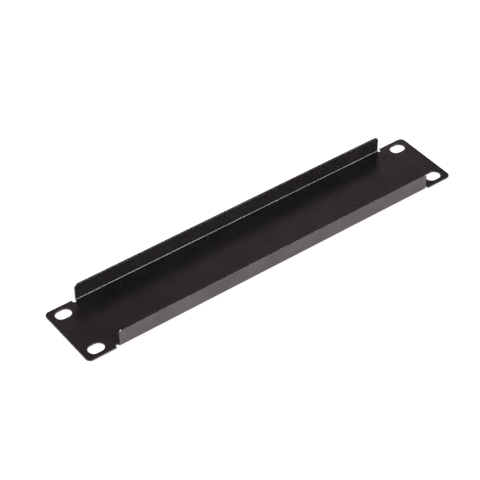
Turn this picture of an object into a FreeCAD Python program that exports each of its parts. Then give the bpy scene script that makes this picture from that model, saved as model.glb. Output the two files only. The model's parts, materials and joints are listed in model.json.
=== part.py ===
import FreeCAD, Part
import math
import os
import Sketcher

# Blanking panel for a half-width rack: one sheet of steel, punched flat and folded once
# along each long side. It lies on its front face, which is the plane Z = 0, and the two
# flanges stand up behind it. X runs along the panel, Y across it, and the origin is the
# middle of the front face. The panel is the same on both sides of its two middle planes,
# so one quarter is modelled and then mirrored twice.

NODE_NAME = "blanking_panel"

# Driving dimensions in millimetres: alias, value, what it measures.
DIMENSIONS = (
    ("slot_pitch_along", 236.525, "between slot centres along the panel"),
    ("slot_pitch_across", 31.75, "between slot centres across the panel"),
    ("slot_to_end", 8.7375, "slot centre to the panel's end"),
    ("slot_to_side", 6.125, "slot centre to the panel's long side"),
    ("slot_width", 7.0, "across the slot, and the diameter of its round ends"),
    ("slot_travel", 2.6, "between the centres of the slot's round ends"),
    ("sheet_thickness", 1.0, "steel with its powder coat"),
    ("bend_inner_radius", 0.6, "inside of each fold"),
    ("flange_height", 11.5, "front face to the flange's free edge"),
    ("flange_corner_radius", 2.5, "the flange's free corners"),
    ("ear_length", 17.9, "panel's end to the bend relief"),
    ("ear_corner_radius", 3.0, "the panel's four corners"),
    ("relief_width", 2.0, "between the ear and the flange's end"),
    ("relief_reach", 0.5, "bend line to the relief's inner end"),
    ("relief_corner_radius", 0.8, "the two corners at the relief's inner end"),
    ("edge_break", 0.12, "flat that takes the sharpness off every edge"),
)

# Places worked out from the driving dimensions, as expressions on the sheet.
HALF_LENGTH = "(sizes.slot_pitch_along / 2 + sizes.slot_to_end)"
HALF_WIDTH = "(sizes.slot_pitch_across / 2 + sizes.slot_to_side)"
BEND_OUTER_RADIUS = "(sizes.bend_inner_radius + sizes.sheet_thickness)"
BEND_LINE = f"({HALF_WIDTH} - {BEND_OUTER_RADIUS})"
EAR_START = f"({HALF_LENGTH} - sizes.ear_length)"
FLANGE_END = f"({EAR_START} - sizes.relief_width)"
RELIEF_MIDDLE = f"({EAR_START} - sizes.relief_width / 2)"
RELIEF_INNER_END = f"({BEND_LINE} - sizes.relief_reach)"
SLOT_RADIUS = "(sizes.slot_width / 2)"
SLOT_INNER_CENTRE = "((sizes.slot_pitch_along - sizes.slot_travel) / 2)"
SLOT_ROW = "(sizes.slot_pitch_across / 2)"
ON_AXIS = "0"

# How the Sketcher numbers the axes, the points of a line or an arc, and the origin.
HORIZONTAL_AXIS, VERTICAL_AXIS = -1, -2
START, END, CENTRE = range(1, 4)
ORIGIN = (HORIZONTAL_AXIS, START)

NORMAL = FreeCAD.Vector(0, 0, 1)
QUARTER_TURN = math.pi / 2


def make_sheet(doc):
    """The spreadsheet that holds the driving dimensions."""
    sheet = doc.addObject("Spreadsheet::Sheet", "sizes")
    for row, (alias, value, meaning) in enumerate(DIMENSIONS, start=1):
        sheet.set(f"A{row}", meaning)
        sheet.set(f"B{row}", str(value))
        sheet.setAlias(f"B{row}", alias)
    doc.recompute()


def origin_plane(body, role):
    """One of the body's own origin planes."""
    return next(item for item in body.Origin.OriginFeatures if item.Role == role)


def new_sketch(body, name, role):
    """An empty sketch on one of the body's origin planes."""
    sketch = body.newObject("Sketcher::SketchObject", name)
    sketch.AttachmentSupport = [(origin_plane(body, role), "")]
    sketch.MapMode = "FlatFace"
    return sketch


def constrain(sketch, kind, *where):
    return sketch.addConstraint(Sketcher.Constraint(kind, *where))


def dimension(sketch, name, expression, kind, *where):
    """A named dimension of the sketch, tied to the sheet."""
    index = constrain(sketch, kind, *where, sketch.evalExpression(expression))
    sketch.renameConstraint(index, name)
    sketch.setExpression(f"Constraints.{name}", expression)


def draw_outline(sketch, sides, rounded):
    """A closed outline whose sides are square to the sketch's axes.

    sides lists each side in turn: its name, the axis that it crosses, and where. rounded
    names the sides that end in a round corner, and gives the corners' radius.
    """
    places = [sketch.evalExpression(where) for _, _, where in sides]
    corners = []
    for place, following, (_, crosses, _) in zip(places, places[1:] + places[:1], sides):
        corner = (place, following) if crosses == "x" else (following, place)
        corners.append(FreeCAD.Vector(*corner, 0))
    for line, (_, crosses, _) in enumerate(sides):
        sketch.addGeometry(Part.LineSegment(corners[line - 1], corners[line]))
        constrain(sketch, "Vertical" if crosses == "x" else "Horizontal", line)
    for line in range(len(sides)):
        constrain(sketch, "Coincident", line, END, (line + 1) % len(sides), START)
    rounded_sides, radius = rounded
    names = [name for name, _, _ in sides]
    for side in rounded_sides:
        sketch.fillet(names.index(side), END, sketch.evalExpression(radius))
        dimension(sketch, f"{side}_corner", radius, "Radius", sketch.GeometryCount - 1)
    for line, (name, crosses, where) in enumerate(sides):
        if where == ON_AXIS:
            axis = VERTICAL_AXIS if crosses == "x" else HORIZONTAL_AXIS
            constrain(sketch, "PointOnObject", line, START, axis)
        else:
            kind = "DistanceX" if crosses == "x" else "DistanceY"
            dimension(sketch, name, where, kind, *ORIGIN, line, START)


def make_plate(body):
    """The flat quarter inside the bend line, with the ear as far as the relief's middle."""
    outline = new_sketch(body, "plate_outline", "XY_Plane")
    sides = (
        ("lengthwise_middle", "y", ON_AXIS),
        ("half_length", "x", HALF_LENGTH),
        ("half_width", "y", HALF_WIDTH),
        ("relief_middle", "x", RELIEF_MIDDLE),
        ("bend_line", "y", BEND_LINE),
        ("crosswise_middle", "x", ON_AXIS),
    )
    draw_outline(outline, sides, (["half_length"], "sizes.ear_corner_radius"))
    plate = body.newObject("PartDesign::Pad", "plate")
    plate.Profile = outline
    plate.setExpression("Length", "sizes.sheet_thickness")
    return plate


def punch(body, sketch, name):
    """A hole of the sketch's shape, right through the sheet."""
    hole = body.newObject("PartDesign::Pocket", name)
    hole.Profile = sketch
    hole.SideType = "Symmetric"
    hole.Type = "ThroughAll"
    return hole


def make_relief(body):
    """The bend relief: a notch between ear and fold, from the long side to past the bend line."""
    outline = new_sketch(body, "relief_outline", "XY_Plane")
    sides = (
        ("half_width", "y", HALF_WIDTH),
        ("ear_start", "x", EAR_START),
        ("inner_end", "y", RELIEF_INNER_END),
        ("flange_end", "x", FLANGE_END),
    )
    draw_outline(outline, sides, (["ear_start", "inner_end"], "sizes.relief_corner_radius"))
    return punch(body, outline, "relief")


def make_slot(body):
    """The fixing slot: straight along the panel, with round ends."""
    sketch = new_sketch(body, "slot_outline", "XY_Plane")
    radius = sketch.evalExpression(SLOT_RADIUS)
    inner = FreeCAD.Vector(sketch.evalExpression(SLOT_INNER_CENTRE), sketch.evalExpression(SLOT_ROW), 0)
    outer = inner + FreeCAD.Vector(sketch.evalExpression("sizes.slot_travel"), 0, 0)
    reach = FreeCAD.Vector(0, radius, 0)
    near_side = sketch.addGeometry(Part.LineSegment(inner - reach, outer - reach))
    outer_end = sketch.addGeometry(
        Part.ArcOfCircle(Part.Circle(outer, NORMAL, radius), -QUARTER_TURN, QUARTER_TURN))
    far_side = sketch.addGeometry(Part.LineSegment(outer + reach, inner + reach))
    inner_end = sketch.addGeometry(
        Part.ArcOfCircle(Part.Circle(inner, NORMAL, radius), QUARTER_TURN, 3 * QUARTER_TURN))
    ring = (near_side, outer_end, far_side, inner_end)
    for piece, following in zip(ring, ring[1:] + ring[:1]):
        constrain(sketch, "Tangent", piece, END, following, START)
    constrain(sketch, "Horizontal", near_side)
    constrain(sketch, "Equal", outer_end, inner_end)
    dimension(sketch, "inner_centre", SLOT_INNER_CENTRE, "DistanceX", *ORIGIN, inner_end, CENTRE)
    dimension(sketch, "slot_row", SLOT_ROW, "DistanceY", *ORIGIN, inner_end, CENTRE)
    dimension(sketch, "slot_travel", "sizes.slot_travel", "DistanceX", inner_end, CENTRE, outer_end, CENTRE)
    dimension(sketch, "slot_radius", SLOT_RADIUS, "Radius", outer_end)
    return punch(body, sketch, "slot")


def make_bend(body):
    """The fold: a quarter ring in cross-section, as far as the relief's middle."""
    section = new_sketch(body, "bend_section", "YZ_Plane")
    outer_radius = section.evalExpression(BEND_OUTER_RADIUS)
    inner_radius = section.evalExpression("sizes.bend_inner_radius")
    centre = FreeCAD.Vector(section.evalExpression(BEND_LINE), outer_radius, 0)
    down, out = FreeCAD.Vector(0, -1, 0), FreeCAD.Vector(1, 0, 0)
    outer, inner = (
        section.addGeometry(Part.ArcOfCircle(Part.Circle(centre, NORMAL, radius), -QUARTER_TURN, 0))
        for radius in (outer_radius, inner_radius))
    for direction, arc_point in ((down, START), (out, END)):
        line = section.addGeometry(
            Part.LineSegment(centre + direction * outer_radius, centre + direction * inner_radius))
        constrain(section, "Coincident", line, START, outer, arc_point)
        constrain(section, "Coincident", line, END, inner, arc_point)
    constrain(section, "Coincident", outer, CENTRE, inner, CENTRE)
    for arc in (outer, inner):
        constrain(section, "Vertical", arc, CENTRE, arc, START)
        constrain(section, "Horizontal", arc, CENTRE, arc, END)
    dimension(section, "bend_line", BEND_LINE, "DistanceX", *ORIGIN, outer, CENTRE)
    dimension(section, "centre_height", BEND_OUTER_RADIUS, "DistanceY", *ORIGIN, outer, CENTRE)
    dimension(section, "outer_radius", BEND_OUTER_RADIUS, "Radius", outer)
    dimension(section, "inner_radius", "sizes.bend_inner_radius", "Radius", inner)
    bend = body.newObject("PartDesign::Pad", "bend")
    bend.Profile = section
    bend.setExpression("Length", RELIEF_MIDDLE)
    return bend


def make_flange(body):
    """The flange above the fold, its outer face flush with the ear's long side."""
    outline = new_sketch(body, "flange_outline", "XZ_Plane")
    outline.setExpression("AttachmentOffset.Base.z", f"-{HALF_WIDTH}")
    sides = (
        ("foot", "y", BEND_OUTER_RADIUS),
        ("flange_end", "x", FLANGE_END),
        ("flange_height", "y", "sizes.flange_height"),
        ("crosswise_middle", "x", ON_AXIS),
    )
    draw_outline(outline, sides, (["flange_end"], "sizes.flange_corner_radius"))
    flange = body.newObject("PartDesign::Pad", "flange")
    flange.Profile = outline
    flange.setExpression("Length", "sizes.sheet_thickness")
    return flange


def make_mirror(body, name, role):
    """Everything so far, doubled across one of the middle planes."""
    mirror = body.newObject("PartDesign::Mirrored", name)
    mirror.TransformMode = "Whole shape"
    mirror.MirrorPlane = (origin_plane(body, role), [""])
    body.Tip = mirror
    return mirror


def break_edges(body, base):
    """A narrow flat along every edge of the sheet, where the burr is taken off."""
    broken = body.newObject("PartDesign::Chamfer", "broken_edges")
    broken.Base = (base, [""])
    broken.UseAllEdges = True
    broken.setExpression("Size", "sizes.edge_break")
    body.Tip = broken
    return broken


def check(doc, body, steps):
    """Stop if an object failed, or a step did not change the solid as it should."""
    for item in doc.Objects:
        if {"Invalid", "Error"} & set(item.State):
            raise RuntimeError(f"{item.Name} failed: {item.State}")
        if item.isDerivedFrom("Sketcher::SketchObject") and not item.FullyConstrained:
            raise RuntimeError(f"{item.Name} is not fully constrained")
    volumes = [step.Shape.Volume for step, _ in steps]
    for (step, change), before, after in zip(steps[1:], volumes, volumes[1:]):
        if not change(before, after):
            raise RuntimeError(f"{step.Name} took the volume from {before} to {after}")
    shape = body.Shape
    if shape.isNull() or not shape.isValid() or len(shape.Solids) != 1:
        raise RuntimeError("the panel is not one valid solid")


def adds(before, after):
    return after > before


def cuts(before, after):
    return after < before


def doubles(before, after):
    return math.isclose(after, 2 * before, rel_tol=1e-6)


def main():
    doc = FreeCAD.newDocument("rack_blanking_panel")
    make_sheet(doc)
    body = doc.addObject("PartDesign::Body", NODE_NAME)
    body.Label = NODE_NAME
    steps = [
        (make_plate(body), adds),
        (make_bend(body), adds),
        (make_relief(body), cuts),
        (make_slot(body), cuts),
        (make_flange(body), adds),
    ]
    doc.recompute()
    steps.append((make_mirror(body, "both_ends", "YZ_Plane"), doubles))
    steps.append((make_mirror(body, "both_sides", "XZ_Plane"), doubles))
    doc.recompute()
    steps.append((break_edges(body, body.Tip), cuts))
    doc.recompute()
    check(doc, body, steps)
    os.makedirs("parts", exist_ok=True)
    body.Shape.exportStep(f"parts/{NODE_NAME}.step")
    box = body.Shape.BoundBox
    print(f"{NODE_NAME}: {box.XLength:.3f} x {box.YLength:.3f} x {box.ZLength:.3f} mm,"
          f" {body.Shape.Volume:.1f} mm3, {len(body.Shape.Faces)} faces")


main()
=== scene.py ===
"""The looks of a half-width rack blanking panel: one folded steel sheet in black powder coat.

The sheet is made the way the real one is. It is punched flat, its edges are broken, and both
long sides are folded up. Lengths are in metres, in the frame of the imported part: X along the
panel, Y across it, and Z up from the front face, which the panel lies on.
"""

import json
import math

import bmesh
import bpy
from mathutils import Matrix, Vector


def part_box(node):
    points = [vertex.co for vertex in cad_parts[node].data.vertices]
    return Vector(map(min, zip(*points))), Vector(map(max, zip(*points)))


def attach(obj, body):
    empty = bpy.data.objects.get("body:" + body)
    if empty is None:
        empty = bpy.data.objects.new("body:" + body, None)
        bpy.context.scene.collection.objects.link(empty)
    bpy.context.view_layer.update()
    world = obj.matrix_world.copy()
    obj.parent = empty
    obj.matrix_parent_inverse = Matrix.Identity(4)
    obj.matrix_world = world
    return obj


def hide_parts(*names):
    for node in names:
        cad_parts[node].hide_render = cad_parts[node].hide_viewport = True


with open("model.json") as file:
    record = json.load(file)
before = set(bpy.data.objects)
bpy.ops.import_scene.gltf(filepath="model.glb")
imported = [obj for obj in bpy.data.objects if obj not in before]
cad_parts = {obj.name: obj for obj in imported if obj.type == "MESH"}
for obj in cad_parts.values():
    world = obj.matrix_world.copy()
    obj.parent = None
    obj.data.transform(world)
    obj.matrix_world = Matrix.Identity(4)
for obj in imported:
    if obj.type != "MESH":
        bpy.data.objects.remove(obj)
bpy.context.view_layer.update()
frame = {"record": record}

MM = 0.001
PANEL = "blanking_panel"

# The sheet and its folds.
SHEET_THICKNESS = 1.0 * MM
BEND_INNER_RADIUS = 0.6 * MM
BEND_OUTER_RADIUS = BEND_INNER_RADIUS + SHEET_THICKNESS
BEND_MID_RADIUS = BEND_INNER_RADIUS + SHEET_THICKNESS / 2
BEND_LENGTH = BEND_MID_RADIUS * math.pi / 2
BEND_STEPS = 12

# Its outline.
EAR_LENGTH = 17.9 * MM
EAR_CORNER_RADIUS = 3.0 * MM
FLANGE_CORNER_RADIUS = 2.5 * MM
RELIEF_WIDTH = 2.0 * MM
RELIEF_REACH = 0.5 * MM
RELIEF_CORNER_RADIUS = 0.8 * MM
EDGE_ROUND = 0.14 * MM
CORNER_STEPS = 12
EDGE_STEPS = 4
SHARP_ANGLE = math.radians(40)
MERGE_DISTANCE = 0.001 * MM
CUT_TOLERANCE = MERGE_DISTANCE / 10
NORMAL_WEIGHT = 100

# The powder coat.
COAT_BLACK = (0.0032, 0.0045, 0.0028)
COAT_PLUM_BLACK = (0.0084, 0.0045, 0.0079)
COAT_SPECULAR = 0.85
SPECK_ROUGHNESS = (0.25, 0.29)
TOP_GLOSS_ROUGHNESS = 0.27
TOP_GLOSS_WEIGHT = (0.0, 0.28)
NOISE_LOW, NOISE_HIGH = 0.3, 0.7
PLAIN_NOISE, DETAILED_NOISE = 0, 1
PEBBLES_PER_METRE = 1 / (0.9 * MM)
GRAINS_PER_METRE = 1 / (0.35 * MM)
GRAIN_SHARE = 0.35
PEBBLE_DEPTH = 0.03 * MM
SPECKS_PER_METRE = 1 / (0.45 * MM)
MOTTLES_PER_METRE = 1 / (6 * MM)
GLOSS_PATCHES_PER_METRE = 1 / (14 * MM)

# The floor and the lamps. A lamp is its name, its azimuth, elevation, half width and half height
# in degrees as seen from the panel, and its radiance in red, green and blue.
FLOOR_COLOR = (0.80, 0.80, 0.80)
FLOOR_HALF_SIZE = 3.0
FLOOR_GAP = 0.05 * MM
FLOOR_GLOW_SEEN = (0.75, 0.75, 0.75)
# The glow that mirrors see, at the left and the right end of a painted fall-off: painted shade
# that dims the floor's reflection towards the right.
FLOOR_GLOW_MIRRORED = ((1.0, 0.88, 0.86), (0.85, 0.745, 0.73))
FLOOR_FADE_REACH = 70 * MM
NO_GLOW = (0.0, 0.0, 0.0)
LAMP_DISTANCE = 4.0
LAMPS = (
    ("key_low", 27, 12, 20, 10, (6.2, 6.0, 6.0)),
    ("key_high", 24, 22, 12, 9, (16.3, 15.8, 15.8)),
    ("back_right_low", 150, 12, 15, 7, (0.74, 0.76, 0.64)),
    ("back_right", 149, 24, 15, 8, (1.86, 1.30, 1.69)),
    ("back_right_upper", 150, 30, 18, 6, (0.58, 0.57, 0.57)),
    ("back_right_high", 152, 38, 18, 9, (0.137, 0.111, 0.126)),
    ("back_left", 219, 26, 17, 17, (12.1, 12.0, 12.1)),
    ("fill_top", 0, 88, 20, 20, (0.24, 0.23, 0.24)),
    ("fill_right", 88, 16, 24, 12, (0.13, 0.12, 0.13)),
    ("fill_left", 272, 16, 24, 12, (0.13, 0.12, 0.13)),
    ("fill_back", 186, 42, 14, 12, (0.14, 0.13, 0.14)),
)

# The camera, round a point on the floor.
VIEW_AZIMUTH = math.radians(-37.357)
VIEW_ELEVATION = math.radians(41.998)
VIEW_ROLL = math.radians(0.488)
VIEW_DISTANCE = 0.9476
VIEW_TARGET = Vector((-0.00607, 0.00747, 0.0))
VIEW_LENS = 126.2
SENSOR_WIDTH = 36.0


def box_sizes(node):
    """Half the length, half the width and the height of a node's box."""
    low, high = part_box(node)
    return (high.x - low.x) / 2, (high.y - low.y) / 2, high.z - low.z


def rack_slot(record):
    """A slot's middle, half its length and half its width, from the record's bolt pattern."""
    pattern = next(m for m in record["mounts"] if m["kind"] == "bolt_pattern")["dims"]
    middle = Vector((pattern["spacing_x_mm"], pattern["spacing_y_mm"], 0)) * MM / 2
    return middle, pattern["slot_length_mm"] * MM / 2, pattern["hole_r_mm"] * MM


# ---------------------------------------------------------------- the folded sheet


def add_corner(bm, corners, x, y):
    """The vertex at a corner of the flat sheet, shared by the faces that meet there."""
    key = (round(x / MERGE_DISTANCE), round(y / MERGE_DISTANCE))
    if key not in corners:
        corners[key] = bm.verts.new((x, y, 0))
    return corners[key]


def round_corners(bm, corners, radius):
    """Rounds corners of the flat sheet that are still square."""
    bmesh.ops.bevel(
        bm, geom=corners, offset=radius, offset_type="OFFSET", affect="VERTICES",
        segments=CORNER_STEPS, profile=0.5, material=-1, clamp_overlap=False,
    )


def quarter_blank(half_length, half_width, height, slot):
    """A quarter of the unfolded sheet, at +X and +Y: plate, half an ear and half a flap."""
    middle, slot_reach, slot_radius = slot
    bend_line = half_width - BEND_OUTER_RADIUS
    flap_edge = bend_line + BEND_LENGTH + height - BEND_OUTER_RADIUS
    ear_start = half_length - EAR_LENGTH
    flap_end = ear_start - RELIEF_WIDTH
    slot_in, slot_out = middle.x - slot_reach, middle.x + slot_reach
    slot_low, slot_high = middle.y - slot_radius, middle.y + slot_radius
    relief_end = bend_line - RELIEF_REACH

    bm = bmesh.new()
    corners = {}
    faces = (
        ((0, 0), (half_length, 0), (half_length, middle.y), (slot_out, middle.y),
         (slot_out, slot_low), (slot_in, slot_low), (slot_in, middle.y), (0, middle.y)),
        ((0, middle.y), (slot_in, middle.y), (slot_in, slot_high), (slot_out, slot_high),
         (slot_out, middle.y), (half_length, middle.y), (half_length, half_width),
         (ear_start, half_width), (ear_start, relief_end), (flap_end, relief_end),
         (flap_end, flap_edge), (0, flap_edge)),
    )
    for face in faces:
        bm.faces.new([add_corner(bm, corners, x, y) for x, y in face])

    def at(*points):
        return [add_corner(bm, corners, x, y) for x, y in points]

    slot_corners = at(
        (slot_in, slot_low), (slot_out, slot_low), (slot_in, slot_high), (slot_out, slot_high),
    )
    relief_corners = at((ear_start, relief_end), (flap_end, relief_end))
    ear_corner = at((half_length, half_width))
    flange_corner = at((flap_end, flap_edge))
    round_corners(bm, slot_corners, slot_radius)
    round_corners(bm, relief_corners, RELIEF_CORNER_RADIUS)
    round_corners(bm, ear_corner, EAR_CORNER_RADIUS)
    round_corners(bm, flange_corner, FLANGE_CORNER_RADIUS)
    bmesh.ops.remove_doubles(bm, verts=bm.verts, dist=MERGE_DISTANCE)
    mark_folds(bm, bend_line, (flap_end + ear_start) / 2)
    return bm


def mark_folds(bm, bend_line, flap_limit):
    """Cuts the flap at the bend line, and then into the strips that the bend's curve needs."""
    for step in range(BEND_STEPS + 1):
        flap = [f for f in bm.faces if f.calc_center_bounds().x < flap_limit]
        edges = list({e for f in flap for e in f.edges})
        verts = list({v for f in flap for v in f.verts})
        line = bend_line + BEND_LENGTH * step / BEND_STEPS
        bmesh.ops.bisect_plane(
            bm, geom=verts + edges + flap, dist=CUT_TOLERANCE,
            plane_co=(0, line, 0), plane_no=(0, 1, 0),
        )


def mirror_blank(bm):
    """Mirrors the quarter along and across the panel, with every face looking up."""
    for axis in "XY":
        geometry = bm.verts[:] + bm.edges[:] + bm.faces[:]
        bmesh.ops.mirror(bm, geom=geometry, axis=axis, merge_dist=MERGE_DISTANCE)
    bmesh.ops.remove_doubles(bm, verts=bm.verts, dist=MERGE_DISTANCE)
    bmesh.ops.recalc_face_normals(bm, faces=bm.faces)
    if bm.faces[0].normal.z < 0:
        bmesh.ops.reverse_faces(bm, faces=bm.faces)


def thicken_blank(bm):
    """Gives the flat sheet its thickness, upwards from the front face."""
    grown = bmesh.ops.extrude_face_region(bm, geom=bm.faces[:])["geom"]
    top = [v for v in grown if isinstance(v, bmesh.types.BMVert)]
    bmesh.ops.translate(bm, verts=top, vec=(0, 0, SHEET_THICKNESS))
    bmesh.ops.recalc_face_normals(bm, faces=bm.faces)


def break_edges(bm):
    """Rounds the sheared and punched edges, where the coat wraps over them."""
    sharp = [e for e in bm.edges if e.is_manifold and e.calc_face_angle() > SHARP_ANGLE]
    bmesh.ops.bevel(
        bm, geom=sharp, offset=EDGE_ROUND, offset_type="OFFSET", affect="EDGES",
        segments=EDGE_STEPS, profile=0.5, material=-1, clamp_overlap=True,
    )
    bmesh.ops.remove_doubles(bm, verts=bm.verts, dist=MERGE_DISTANCE)


def fold_flaps(bm, half_length, half_width):
    """Folds both flaps up by a right angle, round the bend's radius."""
    bend_line = half_width - BEND_OUTER_RADIUS
    flap_limit = half_length - EAR_LENGTH - RELIEF_WIDTH / 2
    for vert in bm.verts:
        along = abs(vert.co.y) - bend_line
        if along > 0 and abs(vert.co.x) < flap_limit:
            side = math.copysign(1, vert.co.y)
            turn = min(along / BEND_MID_RADIUS, math.pi / 2)
            radius = BEND_OUTER_RADIUS - vert.co.z
            vert.co.y = side * (bend_line + radius * math.sin(turn))
            vert.co.z = BEND_OUTER_RADIUS - radius * math.cos(turn) + max(along - BEND_LENGTH, 0)


def make_panel():
    """The whole sheet, punched, broken at its edges and folded."""
    half_length, half_width, height = box_sizes(PANEL)
    bm = quarter_blank(half_length, half_width, height, rack_slot(frame["record"]))
    mirror_blank(bm)
    thicken_blank(bm)
    break_edges(bm)
    fold_flaps(bm, half_length, half_width)
    for face in bm.faces:
        face.smooth = True
    mesh = bpy.data.meshes.new("folded_panel")
    bm.to_mesh(mesh)
    bm.free()
    panel = bpy.data.objects.new("folded_panel", mesh)
    bpy.context.scene.collection.objects.link(panel)
    normals = panel.modifiers.new("flat_faces_stay_flat", "WEIGHTED_NORMAL")
    normals.mode = "FACE_AREA"
    normals.weight = NORMAL_WEIGHT
    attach(panel, "root")
    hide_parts(PANEL)
    return panel


# ---------------------------------------------------------------- the powder coat


def add_noise(tree, vector, cells_per_metre, detail):
    """A noise over the panel's own coordinates, with cells of a real size."""
    noise = tree.nodes.new("ShaderNodeTexNoise")
    noise.inputs["Scale"].default_value = cells_per_metre
    noise.inputs["Detail"].default_value = detail
    tree.links.new(vector, noise.inputs["Vector"])
    return noise.outputs["Fac"]


def add_range(tree, value, low, high):
    """Spreads the middle of a noise over a range of values."""
    spread = tree.nodes.new("ShaderNodeMapRange")
    spread.inputs["From Min"].default_value = NOISE_LOW
    spread.inputs["From Max"].default_value = NOISE_HIGH
    spread.inputs["To Min"].default_value = low
    spread.inputs["To Max"].default_value = high
    tree.links.new(value, spread.inputs["Value"])
    return spread.outputs["Result"]


def add_sum(tree, first, second, share):
    """The first value and a share of the second."""
    total = tree.nodes.new("ShaderNodeMath")
    total.operation = "MULTIPLY_ADD"
    total.inputs[1].default_value = share
    tree.links.new(second, total.inputs[0])
    tree.links.new(first, total.inputs[2])
    return total.outputs["Value"]


def add_mix(tree, share, first, second):
    """Two colours mixed by a value. Each is three numbers or the output of another node."""
    mix = tree.nodes.new("ShaderNodeMix")
    mix.data_type = "RGBA"
    tree.links.new(share, mix.inputs["Factor"])
    for socket, color in ((mix.inputs["A"], first), (mix.inputs["B"], second)):
        if isinstance(color, tuple):
            socket.default_value = (*color, 1)
        else:
            tree.links.new(color, socket)
    return mix.outputs["Result"]


def add_pebbles(tree, vector):
    """The bump of the coat's pebbled skin, pebbles with a finer grain on them."""
    pebbles = add_noise(tree, vector, PEBBLES_PER_METRE, DETAILED_NOISE)
    grain = add_noise(tree, vector, GRAINS_PER_METRE, PLAIN_NOISE)
    bump = tree.nodes.new("ShaderNodeBump")
    bump.inputs["Strength"].default_value = 1
    bump.inputs["Distance"].default_value = PEBBLE_DEPTH
    tree.links.new(add_sum(tree, pebbles, grain, GRAIN_SHARE), bump.inputs["Height"])
    return bump.outputs["Normal"]


def powder_coat():
    """Semi-gloss black powder coat: a pebbled skin, specks, patches of gloss, a plum mottle."""
    material = bpy.data.materials.new("black_powder_coat")
    material.use_nodes = True
    tree = material.node_tree
    vector = tree.nodes.new("ShaderNodeTexCoord").outputs["Object"]
    mottle = add_range(tree, add_noise(tree, vector, MOTTLES_PER_METRE, DETAILED_NOISE), 0, 1)
    specks = add_noise(tree, vector, SPECKS_PER_METRE, PLAIN_NOISE)
    gloss = add_noise(tree, vector, GLOSS_PATCHES_PER_METRE, PLAIN_NOISE)
    shader = tree.nodes["Principled BSDF"].inputs
    shader["Specular IOR Level"].default_value = COAT_SPECULAR
    shader["Coat Roughness"].default_value = TOP_GLOSS_ROUGHNESS
    tree.links.new(add_mix(tree, mottle, COAT_BLACK, COAT_PLUM_BLACK), shader["Base Color"])
    tree.links.new(add_range(tree, specks, *SPECK_ROUGHNESS), shader["Roughness"])
    tree.links.new(add_range(tree, gloss, *TOP_GLOSS_WEIGHT), shader["Coat Weight"])
    tree.links.new(add_pebbles(tree, vector), shader["Normal"])
    return material


# ---------------------------------------------------------------- floor, light and camera


def add_ray_switch(tree, *kinds):
    """1 for rays of the named kinds and 0 for the rest."""
    path = tree.nodes.new("ShaderNodeLightPath")
    value = path.outputs[kinds[0]]
    for kind in kinds[1:]:
        either = tree.nodes.new("ShaderNodeMath")
        either.operation = "MAXIMUM"
        tree.links.new(value, either.inputs[0])
        tree.links.new(path.outputs[kind], either.inputs[1])
        value = either.outputs["Value"]
    return value


def add_painted_falloff(tree):
    """0 to the left of the panel's middle and 1 to the right, with a soft change between. It
    shapes the painted shade that dims the floor's mirrored glow towards the right.
    """
    place = tree.nodes.new("ShaderNodeSeparateXYZ")
    tree.links.new(tree.nodes.new("ShaderNodeTexCoord").outputs["Object"], place.inputs["Vector"])
    fade = tree.nodes.new("ShaderNodeMapRange")
    fade.interpolation_type = "SMOOTHSTEP"
    fade.inputs["From Min"].default_value = -FLOOR_FADE_REACH
    fade.inputs["From Max"].default_value = FLOOR_FADE_REACH
    tree.links.new(place.outputs["X"], fade.inputs["Value"])
    return fade.outputs["Result"]


def floor_white():
    """A matte white whose glow differs between what is seen and what is mirrored.

    The camera sees plain white, with a faint shadow left in it. The panel mirrors a warmer
    white glow, whose fade towards the right is painted shade on that reflection. The glow itself
    lights nothing.
    """
    material = bpy.data.materials.new("floor_white")
    material.use_nodes = True
    tree = material.node_tree
    shader = tree.nodes["Principled BSDF"].inputs
    shader["Base Color"].default_value = (*FLOOR_COLOR, 1)
    shader["Roughness"].default_value = 1
    shader["Specular IOR Level"].default_value = 0
    shader["Emission Strength"].default_value = 1
    # Painted shade: the mirrored glow fades from the brighter left colour to the dimmer right
    # one.
    mirrored = add_mix(tree, add_painted_falloff(tree), *FLOOR_GLOW_MIRRORED)
    straight = add_ray_switch(tree, "Is Camera Ray", "Is Transmission Ray")
    seen = add_mix(tree, straight, NO_GLOW, FLOOR_GLOW_SEEN)
    glow = add_mix(tree, add_ray_switch(tree, "Is Glossy Ray"), seen, mirrored)
    tree.links.new(glow, shader["Emission Color"])
    return material


def make_floor():
    """A plain white floor just under the panel."""
    bm = bmesh.new()
    bmesh.ops.create_grid(bm, x_segments=1, y_segments=1, size=FLOOR_HALF_SIZE)
    bmesh.ops.translate(bm, verts=bm.verts, vec=(0, 0, -FLOOR_GAP))
    mesh = bpy.data.meshes.new("floor")
    bm.to_mesh(mesh)
    bm.free()
    floor = bpy.data.objects.new("floor", mesh)
    bpy.context.scene.collection.objects.link(floor)
    floor.data.materials.append(floor_white())


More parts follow.
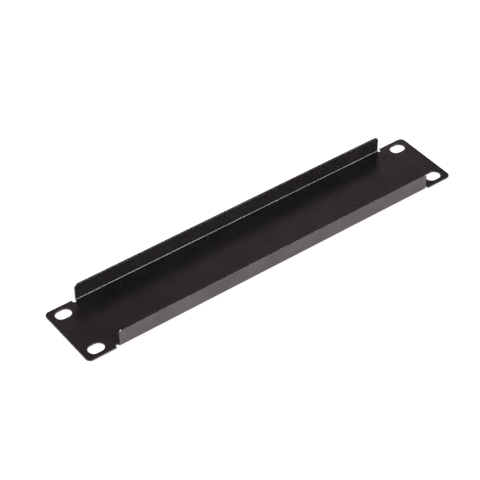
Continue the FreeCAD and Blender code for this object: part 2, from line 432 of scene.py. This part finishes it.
def light_room():
    """A dark room, which the camera sees as white past the floor's edge."""
    world = bpy.data.worlds.new("studio")
    bpy.context.scene.world = world
    world.use_nodes = True
    tree = world.node_tree
    background = tree.nodes["Background"].inputs
    background["Color"].default_value = (1, 1, 1, 1)
    straight = add_ray_switch(tree, "Is Camera Ray", "Is Transmission Ray")
    tree.links.new(straight, background["Strength"])


def view_way(azimuth, elevation):
    """The direction from the panel to something round it, with azimuth 0 on the -Y side."""
    flat = math.cos(elevation)
    return Vector((math.sin(azimuth) * flat, -math.cos(azimuth) * flat, math.sin(elevation)))


def aimed(way, distance, target=Vector((0, 0, 0))):
    """The placing of a lamp or camera that looks back along a direction at a target."""
    turn = way.to_track_quat("Z", "Y").to_matrix().to_4x4()
    return Matrix.Translation(target + way * distance) @ turn


def hang_lamp(name, azimuth, elevation, half_width, half_height, radiance):
    """A soft lamp, evenly bright, that fills an ellipse of the sky as the panel sees it."""
    width = 2 * LAMP_DISTANCE * math.tan(math.radians(half_width))
    height = 2 * LAMP_DISTANCE * math.tan(math.radians(half_height))
    lamp = bpy.data.lights.new(name, "AREA")
    lamp.shape = "ELLIPSE"
    lamp.size, lamp.size_y = width, height
    area = math.pi * width * height / 4
    lamp.energy = math.pi * area
    lamp.color = radiance
    holder = bpy.data.objects.new(name, lamp)
    bpy.context.scene.collection.objects.link(holder)
    way = view_way(math.radians(azimuth), math.radians(elevation))
    holder.matrix_world = aimed(way, LAMP_DISTANCE)


def set_lights():
    """The room's background and all its lamps."""
    light_room()
    for lamp in LAMPS:
        hang_lamp(*lamp)


def set_camera():
    """The camera looks down at the panel from its near left corner."""
    camera_data = bpy.data.cameras.new("camera")
    camera_data.sensor_width = SENSOR_WIDTH
    camera_data.lens = VIEW_LENS
    camera = bpy.data.objects.new("camera", camera_data)
    bpy.context.scene.collection.objects.link(camera)
    placing = aimed(view_way(VIEW_AZIMUTH, VIEW_ELEVATION), VIEW_DISTANCE, VIEW_TARGET)
    camera.matrix_world = placing @ Matrix.Rotation(VIEW_ROLL, 4, "Z")
    bpy.context.scene.camera = camera
    bpy.context.scene.view_settings.view_transform = "Standard"


panel = make_panel()
panel.data.materials.append(powder_coat())
make_floor()
set_lights()
set_camera()
